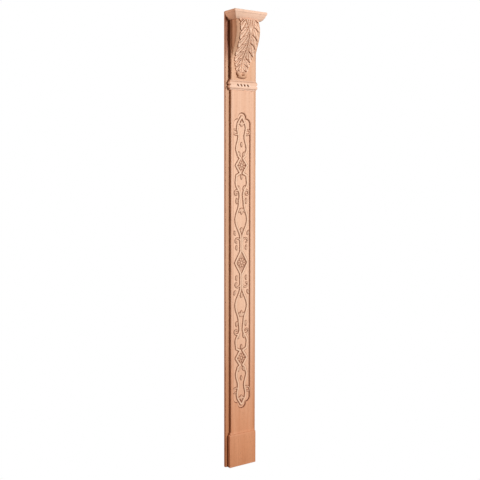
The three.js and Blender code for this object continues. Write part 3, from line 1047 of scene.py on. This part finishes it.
@dataclass
class AcanthusLeaf:
    """The leaf that hangs down the capital: a midrib and drooping lobes, each a fan of fingers.

    Places on the leaf are given across from its midrib and as a drop below the abacus.
    """

    half_width: float = 49.0
    thick: float = 6.5
    lean_drop: float = 113.0
    scallop: float = 4.5
    notch_sharpness: int = 8
    full_drop: float = 153.0
    tip_drop: float = 229.0
    tip_half_width: float = 26.0
    tip_relief: float = 0.55
    sway: float = 12.0
    rim_width: float = 6.0
    rim_share: float = 0.45
    lobe_start: float = 13.0
    lobe_height: float = 38.5
    lobe_loss: float = 2.5
    lobe_fall: float = 0.36
    lobe_droop: float = 0.005
    lobe_step: float = 4.5
    seam_depth: float = 4.6
    seam_width: float = 2.6
    seam_wall: float = 2.6
    fingers: int = 4
    finger_depth: float = 6.5
    finger_spread: float = 1.0
    finger_start: float = 13.0
    finger_root: float = 0.1
    finger_scallop: float = 1.2
    rib_spread: float = 17.0
    rib_drop: float = 62.0
    rib_groove: float = 7.0
    midrib_half_width: float = 3.0
    midrib_groove: float = 6.5
    midrib_groove_out: float = 5.0
    midrib_groove_width: float = 2.3
    toe_drop: float = 231.0
    toe_half_width: float = 28.0
    toe_radius: float = 13.0
    toe_projection: float = 15.0
    toe_recess: float = 0.9
    toe_recess_half: float = 7.5
    toe_recess_fade: float = 4.0
    tip_hollow: float = 6.0
    tip_hollow_rise: float = 16.0
    toe_smile: float = 6.0

    def taper(self, drop: np.ndarray) -> np.ndarray:
        """0 where the leaf has its full width, 1 at its tip."""
        return np.clip((drop - self.full_drop) / (self.tip_drop - self.full_drop), 0.0, 1.0)

    def lean(self, drop: np.ndarray) -> np.ndarray:
        """How far the leaf leans to the left, which grows towards its tip."""
        return self.sway * ease((drop - self.lean_drop) / (self.tip_drop - self.lean_drop))

    def lobe(self, x: np.ndarray, drop: np.ndarray) -> np.ndarray:
        """Lobes passed on the way down, each a little less high than the one above it.

        Args:
            x: places across.
            drop: places down.

        Returns:
            The count of whole lobes, and after the point the share of the next one.
        """
        out = np.abs(x)
        fall = self.lobe_fall * out + self.lobe_droop * out**2
        edge_fall = self.lobe_fall * self.half_width + self.lobe_droop * self.half_width**2
        first = self.lobe_height + self.lobe_loss / 2
        root = np.sqrt(first**2 - 2 * self.lobe_loss * (drop - self.lobe_start + edge_fall - fall))
        return (first - root) / self.lobe_loss

    def finger_valley(self, x: np.ndarray, drop: np.ndarray) -> np.ndarray:
        """0 on a finger's rounded ridge, 1 in the sharp cut beside it.

        Args:
            x: places across.
            drop: places down.

        Returns:
            A share for each place. The fingers of a lobe fan out from its root at the midrib.
        """
        count = self.lobe(x, drop)
        along = np.mod(count, 1.0) * (self.lobe_height - self.lobe_loss * count)
        out = np.clip(np.abs(x) - self.midrib_half_width, self.finger_root, None)
        fan = along / (along + self.finger_spread * out)
        return 1 - np.abs(np.sin(math.pi * self.fingers * fan))

    def edge(self, drop: np.ndarray) -> np.ndarray:
        """Half the leaf's width, with notches between lobes and small ones between fingers.

        Args:
            drop: places down.

        Returns:
            Millimetres from the midrib for each place.
        """
        width = self.half_width + self.taper(drop) * (self.tip_half_width - self.half_width)
        notch = np.cos(math.pi * self.lobe(width, drop)) ** self.notch_sharpness
        return width - self.scallop * notch - self.finger_scallop * self.finger_valley(width, drop)

    def sunk(self, x: np.ndarray, drop: np.ndarray) -> np.ndarray:
        """Carving of the leaf below its highest ridges.

        Each lobe starts sunk under the one above it and rises in fingers.

        Args:
            x: places across.
            drop: places down.

        Returns:
            Millimetres of sinking, less along the leaf's edge.
        """
        out = np.abs(x)
        count = self.lobe(x, drop)
        part = np.mod(count, 1.0)
        height = self.lobe_height - self.lobe_loss * count
        along, left = part * height, (1 - part) * height
        seam = self.seam_depth * bump(along - self.seam_wall, self.seam_width)
        lobes = self.lobe_step * (1 - part) + seam
        lobes += self.finger_depth * self.finger_valley(x, drop) * ease(left / self.seam_wall)
        lobes *= ease(along / self.seam_wall)
        rim = ease((self.edge(drop) - out) / self.rim_width)
        lobes *= self.rim_share + (1 - self.rim_share) * rim

        ribs = self.rib_spread * (1 - ease(drop / self.rib_drop))
        groove_out = self.midrib_groove_out + ribs
        spread = ease((out - self.midrib_half_width - ribs) / self.finger_start)
        beside = self.midrib_groove * bump(out - groove_out, self.midrib_groove_width)
        between = bump(out - groove_out / 2, self.midrib_groove_width) + bump(out, self.midrib_groove_width)
        beside += self.rib_groove * between * ribs / self.rib_spread
        relief = 1 - self.taper(drop) * (1 - self.tip_relief)
        tip = ease((drop - self.tip_drop + self.tip_hollow_rise) / (self.tip_hollow_rise / 2))
        return relief * (lobes * spread + beside) + self.tip_hollow * tip * bump(out, self.toe_recess_half)

    def toe(self, x: np.ndarray, drop: np.ndarray) -> np.ndarray:
        """Height of the rolled tip, a short roll that turns up at its ends and is hollow between.

        Args:
            x: places across.
            drop: places down.

        Returns:
            Millimetres above the neck.
        """
        across = np.clip(1 - (x / self.toe_half_width) ** 4, 0.0, 1.0)
        middle = self.toe_drop - self.toe_smile * (x / self.toe_half_width) ** 2
        roll = np.clip(1 - ((drop - middle) / self.toe_radius) ** 2, 0.0, 1.0)
        upper = ease((middle - drop) / self.toe_recess_fade + 1)
        hollow = self.toe_recess * bump(x, self.toe_recess_half) * upper
        return self.toe_projection * np.sqrt(roll * across) * (1 - hollow)


@dataclass
class AcanthusCapital(FrontPiece):
    """A swelling console on the neck, with an acanthus leaf down its front."""

    softened: bool = False
    sharp_angle: float = 62.0
    # Painted shade on the capital's sides, full where they meet the board.
    corner_shade: float = 1.0
    hollow_reach: int = 4
    hollow_full: float = 1.7
    neck_depth: float = 20.0
    console_half_width: float = 61.0
    console_depth: float = 57.0
    console_top_depth: float = 47.0
    leaf_top_depth: float = 51.0
    bulge_drop: float = 43.0
    console_run: float = 130.0
    console_bow: float = 13.0
    bow_full_drop: float = 113.0
    bow_end_drop: float = 178.0
    pale_cut: float = 0.9
    margin_shade: float = 0.1
    leaf_columns: int = 170
    margin_columns: int = 6
    row_step: float = 0.7
    wall_step: float = 0.2
    leaf: AcanthusLeaf = field(default_factory=AcanthusLeaf)

    def swept_depth(self, top_depth: float, drop: np.ndarray) -> np.ndarray:
        """Depth of a front at a drop below the abacus: a bulge, then a long sweep to the neck.

        Args:
            top_depth: the depth at the top.
            drop: places down.

        Returns:
            Millimetres off the board.
        """
        rest = (1 - drop / self.bulge_drop) ** 2
        bulge = self.console_depth - (self.console_depth - top_depth) * rest
        part = np.clip((drop - self.bulge_drop) / self.console_run, 0.0, 1.0)
        sweep = (self.console_depth - self.neck_depth) * (1 + np.cos(math.pi * part)) / 2
        return np.where(drop < self.bulge_drop, bulge, self.neck_depth + sweep)

    def bow(self, x: np.ndarray, drop: np.ndarray) -> np.ndarray:
        """How far the upper console bows out across its width, most at the centre line."""
        fade = ease((drop - self.bow_full_drop) / (self.bow_end_drop - self.bow_full_drop))
        return self.console_bow * (1 - fade) * (1 - np.abs(x / self.console_half_width) ** 3)

    def margin(self, side: float, drop: np.ndarray, half: float) -> tuple[np.ndarray, np.ndarray]:
        """Columns beside the leaf: bare console, its side and the neck.

        Args:
            side: 1 on the right, -1 on the left.
            drop: places down, one for each row.
            half: half the neck's width.

        Returns:
            Places across and depths, a column for each from the leaf outwards.
        """
        bare = self.swept_depth(self.console_top_depth, drop)
        edge = self.leaf.edge(drop)
        arris = side * self.console_half_width
        start = side * (edge + self.wall_step) - self.leaf.lean(drop)
        run = np.linspace(0.0, 1.0, self.margin_columns)
        x = [start + run * (arris - side * self.arris - start)]
        depth = [bare + self.bow(edge + run * (self.console_half_width - edge), drop)]
        for place, out in (
            (arris, np.maximum(bare - self.arris, self.neck_depth)),
            (arris + side * self.wall_step, self.neck_depth),
            (side * (half - self.arris), self.neck_depth),
            (side * half, self.neck_depth - self.arris),
        ):
            x.append(np.broadcast_to(place, bare.shape))
            depth.append(np.broadcast_to(out, bare.shape))
        return np.hstack(x), np.hstack(depth)

    def front(self, extent: Extent) -> Front:
        """Columns follow the neck, the console's side, its bare front and the leaf.

        Args:
            extent: the room that the node takes.

        Returns:
            The capital's front, pale on the leaf, with painted shade in its hollows and on the bowed
            margins.
        """
        height = extent.top - extent.foot
        drop = np.linspace(height, 0.0, round(height / self.row_step) + 1)[:, None]
        edge, lean = self.leaf.edge(drop), self.leaf.lean(drop)
        bare = self.swept_depth(self.console_top_depth, drop)

        x = edge * np.linspace(-1.0, 1.0, self.leaf_columns + 1)
        sunk = self.leaf.sunk(x, drop)
        bow = self.bow(x, drop)
        body = self.swept_depth(self.leaf_top_depth, drop) + bow + self.leaf.thick - sunk
        body = np.where(drop < self.leaf.tip_drop, body, 0.0)
        toe = self.neck_depth + self.leaf.toe(x, drop)
        depth = np.maximum(np.maximum(body, bare + bow), toe)

        left_x, left_depth = self.margin(-1.0, drop, extent.half_width)
        right_x, right_depth = self.margin(1.0, drop, extent.half_width)
        plain = np.zeros_like(left_x)
        shade = plain.copy()
        # Painted shade on the bare console beside the leaf, fading out downwards with the bow.
        bowed = ease((self.bow_end_drop - drop) / self.bow_full_drop)
        shade[:, : self.margin_columns] = self.margin_shade * bowed
        above_tip = ease((self.leaf.tip_drop - drop) / self.leaf.tip_hollow_rise)
        cut = np.broadcast_to(self.pale_cut * above_tip, depth.shape)
        # Painted shade in the leaf's hollows.
        hollow = hollows(depth, self.hollow_reach, self.hollow_full)
        return Front.over(
            np.hstack([left_x[:, ::-1], x - lean, right_x]),
            np.hstack([left_depth[:, ::-1], depth, right_depth]),
            extent.top - drop,
            np.hstack([plain, cut, plain]),
            np.hstack([shade[:, ::-1], hollow, shade]),
        )


@dataclass(frozen=True)
class PhotoCamera:
    """The viewpoint, worked out from the pilaster's own edges."""

    place: Place = (-2.0551, -2.9074, 0.3199)
    yaw: float = -35.32
    pitch: float = -4.88
    roll: float = 0.08
    focal_px: float = 805.67
    image_px: float = 480.0
    sensor_width: float = 36.0

    def set_up(self) -> None:
        """Make the camera and look through it."""
        data = bpy.data.cameras.new("camera")
        data.sensor_width = self.sensor_width
        data.lens = self.focal_px * self.sensor_width / self.image_px
        camera = bpy.data.objects.new("camera", data)
        turn = Matrix.Rotation(math.radians(self.yaw), 4, "Z")
        tilt = Matrix.Rotation(math.radians(90 + self.pitch), 4, "X")
        level = Matrix.Rotation(math.radians(self.roll), 4, "Z")
        camera.matrix_world = Matrix.Translation(self.place) @ turn @ tilt @ level
        bpy.context.scene.collection.objects.link(camera)
        bpy.context.scene.camera = camera


@dataclass(frozen=True)
class SoftBox:
    """A soft studio light, placed and aimed in metres."""

    name: str
    place: Place
    aim: Place
    side: float
    power: float
    tint: str

    def hang(self) -> None:
        """Hang the light and turn it to its aim."""
        data = bpy.data.lights.new(self.name, "AREA")
        data.shape = "SQUARE"
        data.size = self.side
        data.energy = self.power
        data.color = linear(self.tint)[:3]
        lamp = bpy.data.objects.new(self.name, data)
        lamp.location = self.place
        lamp.rotation_euler = (Vector(self.aim) - Vector(self.place)).to_track_quat("-Z", "Y").to_euler()
        bpy.context.scene.collection.objects.link(lamp)


@dataclass
class Studio:
    """A white paper floor, a white surround and soft lights."""

    floor_side: float = 60.0
    paper: str = "#FFFFFF"
    paper_shade: str = "#8C8884"
    fill: str = "#FFC49C"
    fill_strength: float = 0.19
    lights: tuple[SoftBox, ...] = (
        SoftBox("key", (1.45, -6.5, 1.4), aim=(0.0, 0.0, 0.0), side=1.2, power=416.0, tint="#FFFFFF"),
        SoftBox("sweep_glow", (-2.7, 3.0, 0.9), aim=(0.0, 0.0, 0.3), side=2.6, power=140.0, tint="#FFDCC8"),
    )

    def seen_as(
        self, tree: bpy.types.NodeTree, lit: bpy.types.Node, seen: bpy.types.Node
    ) -> bpy.types.Node:
        """Join two shaders, so that the camera sees one and the lighting meets the other.

        Args:
            tree: the node tree.
            lit: shader for all other rays.
            seen: shader for the camera's own rays.

        Returns:
            The joining node.
        """
        path = add_node(tree, "ShaderNodeLightPath", {})
        return add_node(
            tree,
            "ShaderNodeMixShader",
            {0: path.outputs["Is Camera Ray"], 1: lit.outputs[0], 2: seen.outputs[0]},
        )

    def lay_floor(self, height: float) -> None:
        """Lay the paper floor.

        Args:
            height: the floor's height in the frame, in metres.
        """
        bm = bmesh.new()
        bmesh.ops.create_grid(bm, x_segments=1, y_segments=1, size=self.floor_side / 2)
        bmesh.ops.translate(bm, vec=(0.0, 0.0, height), verts=bm.verts)
        mesh = bpy.data.meshes.new("paper_floor")
        bm.to_mesh(mesh)
        bm.free()
        # Matt white paper, burnt out to plain white as in the photograph.
        made = bpy.data.materials.new("matt_white_paper")
        made.use_nodes = True
        tree = made.node_tree
        tree.nodes.clear()
        lit = add_node(tree, "ShaderNodeBsdfDiffuse", {"Color": linear(self.paper_shade)})
        seen = add_node(tree, "ShaderNodeEmission", {"Color": linear(self.paper), "Strength": 1.0})
        both = self.seen_as(tree, lit, seen)
        add_node(tree, "ShaderNodeOutputMaterial", {"Surface": both.outputs[0]})
        mesh.materials.append(made)
        floor = bpy.data.objects.new("paper_floor", mesh)
        bpy.context.scene.collection.objects.link(floor)

    def light(self) -> None:
        """Hang the lights in a surround that the camera sees as white."""
        world = bpy.data.worlds.new("studio")
        bpy.context.scene.world = world
        world.use_nodes = True
        tree = world.node_tree
        tree.nodes.clear()
        fill = {"Color": linear(self.fill), "Strength": self.fill_strength}
        lit = add_node(tree, "ShaderNodeBackground", fill)
        seen = add_node(tree, "ShaderNodeBackground", {"Color": linear(self.paper), "Strength": 1.0})
        both = self.seen_as(tree, lit, seen)
        add_node(tree, "ShaderNodeOutputWorld", {"Surface": both.outputs[0]})
        for lamp in self.lights:
            lamp.hang()


def main() -> None:
    """Build the pilaster piece by piece, then the studio."""
    logging.basicConfig(level=logging.INFO, format="%(name)s: %(message)s")
    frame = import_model()
    LOG.info("solids: %s", ", ".join(sorted(frame["nodes"])))
    bpy.context.scene.view_settings.view_transform = "Standard"
    PhotoCamera().set_up()

    datum = Datum.from_frame()
    pieces = (
        BackingBoard("planed_board", "backing_board", "board_beech", BOARD_BEECH, arris=1.2),
        PlinthBlock("moulded_plinth", "plinth_block", "shaft_beech", SHAFT_BEECH, arris=1.0),
        CarvedShaft("carved_shaft", "shaft", "shaft_beech", SHAFT_BEECH),
        NeckingBand("beaded_band", "necking_band", "capital_beech", ABACUS_BEECH),
        AcanthusCapital("acanthus_capital", "capital", "capital_beech", CAPITAL_BEECH),
        Abacus("moulded_abacus", "abacus", "capital_beech", ABACUS_BEECH),
    )
    for piece in pieces:
        piece.dress(datum)

    studio = Studio()
    studio.lay_floor(datum.foot)
    studio.light()


if __name__ == "__main__":
    main()
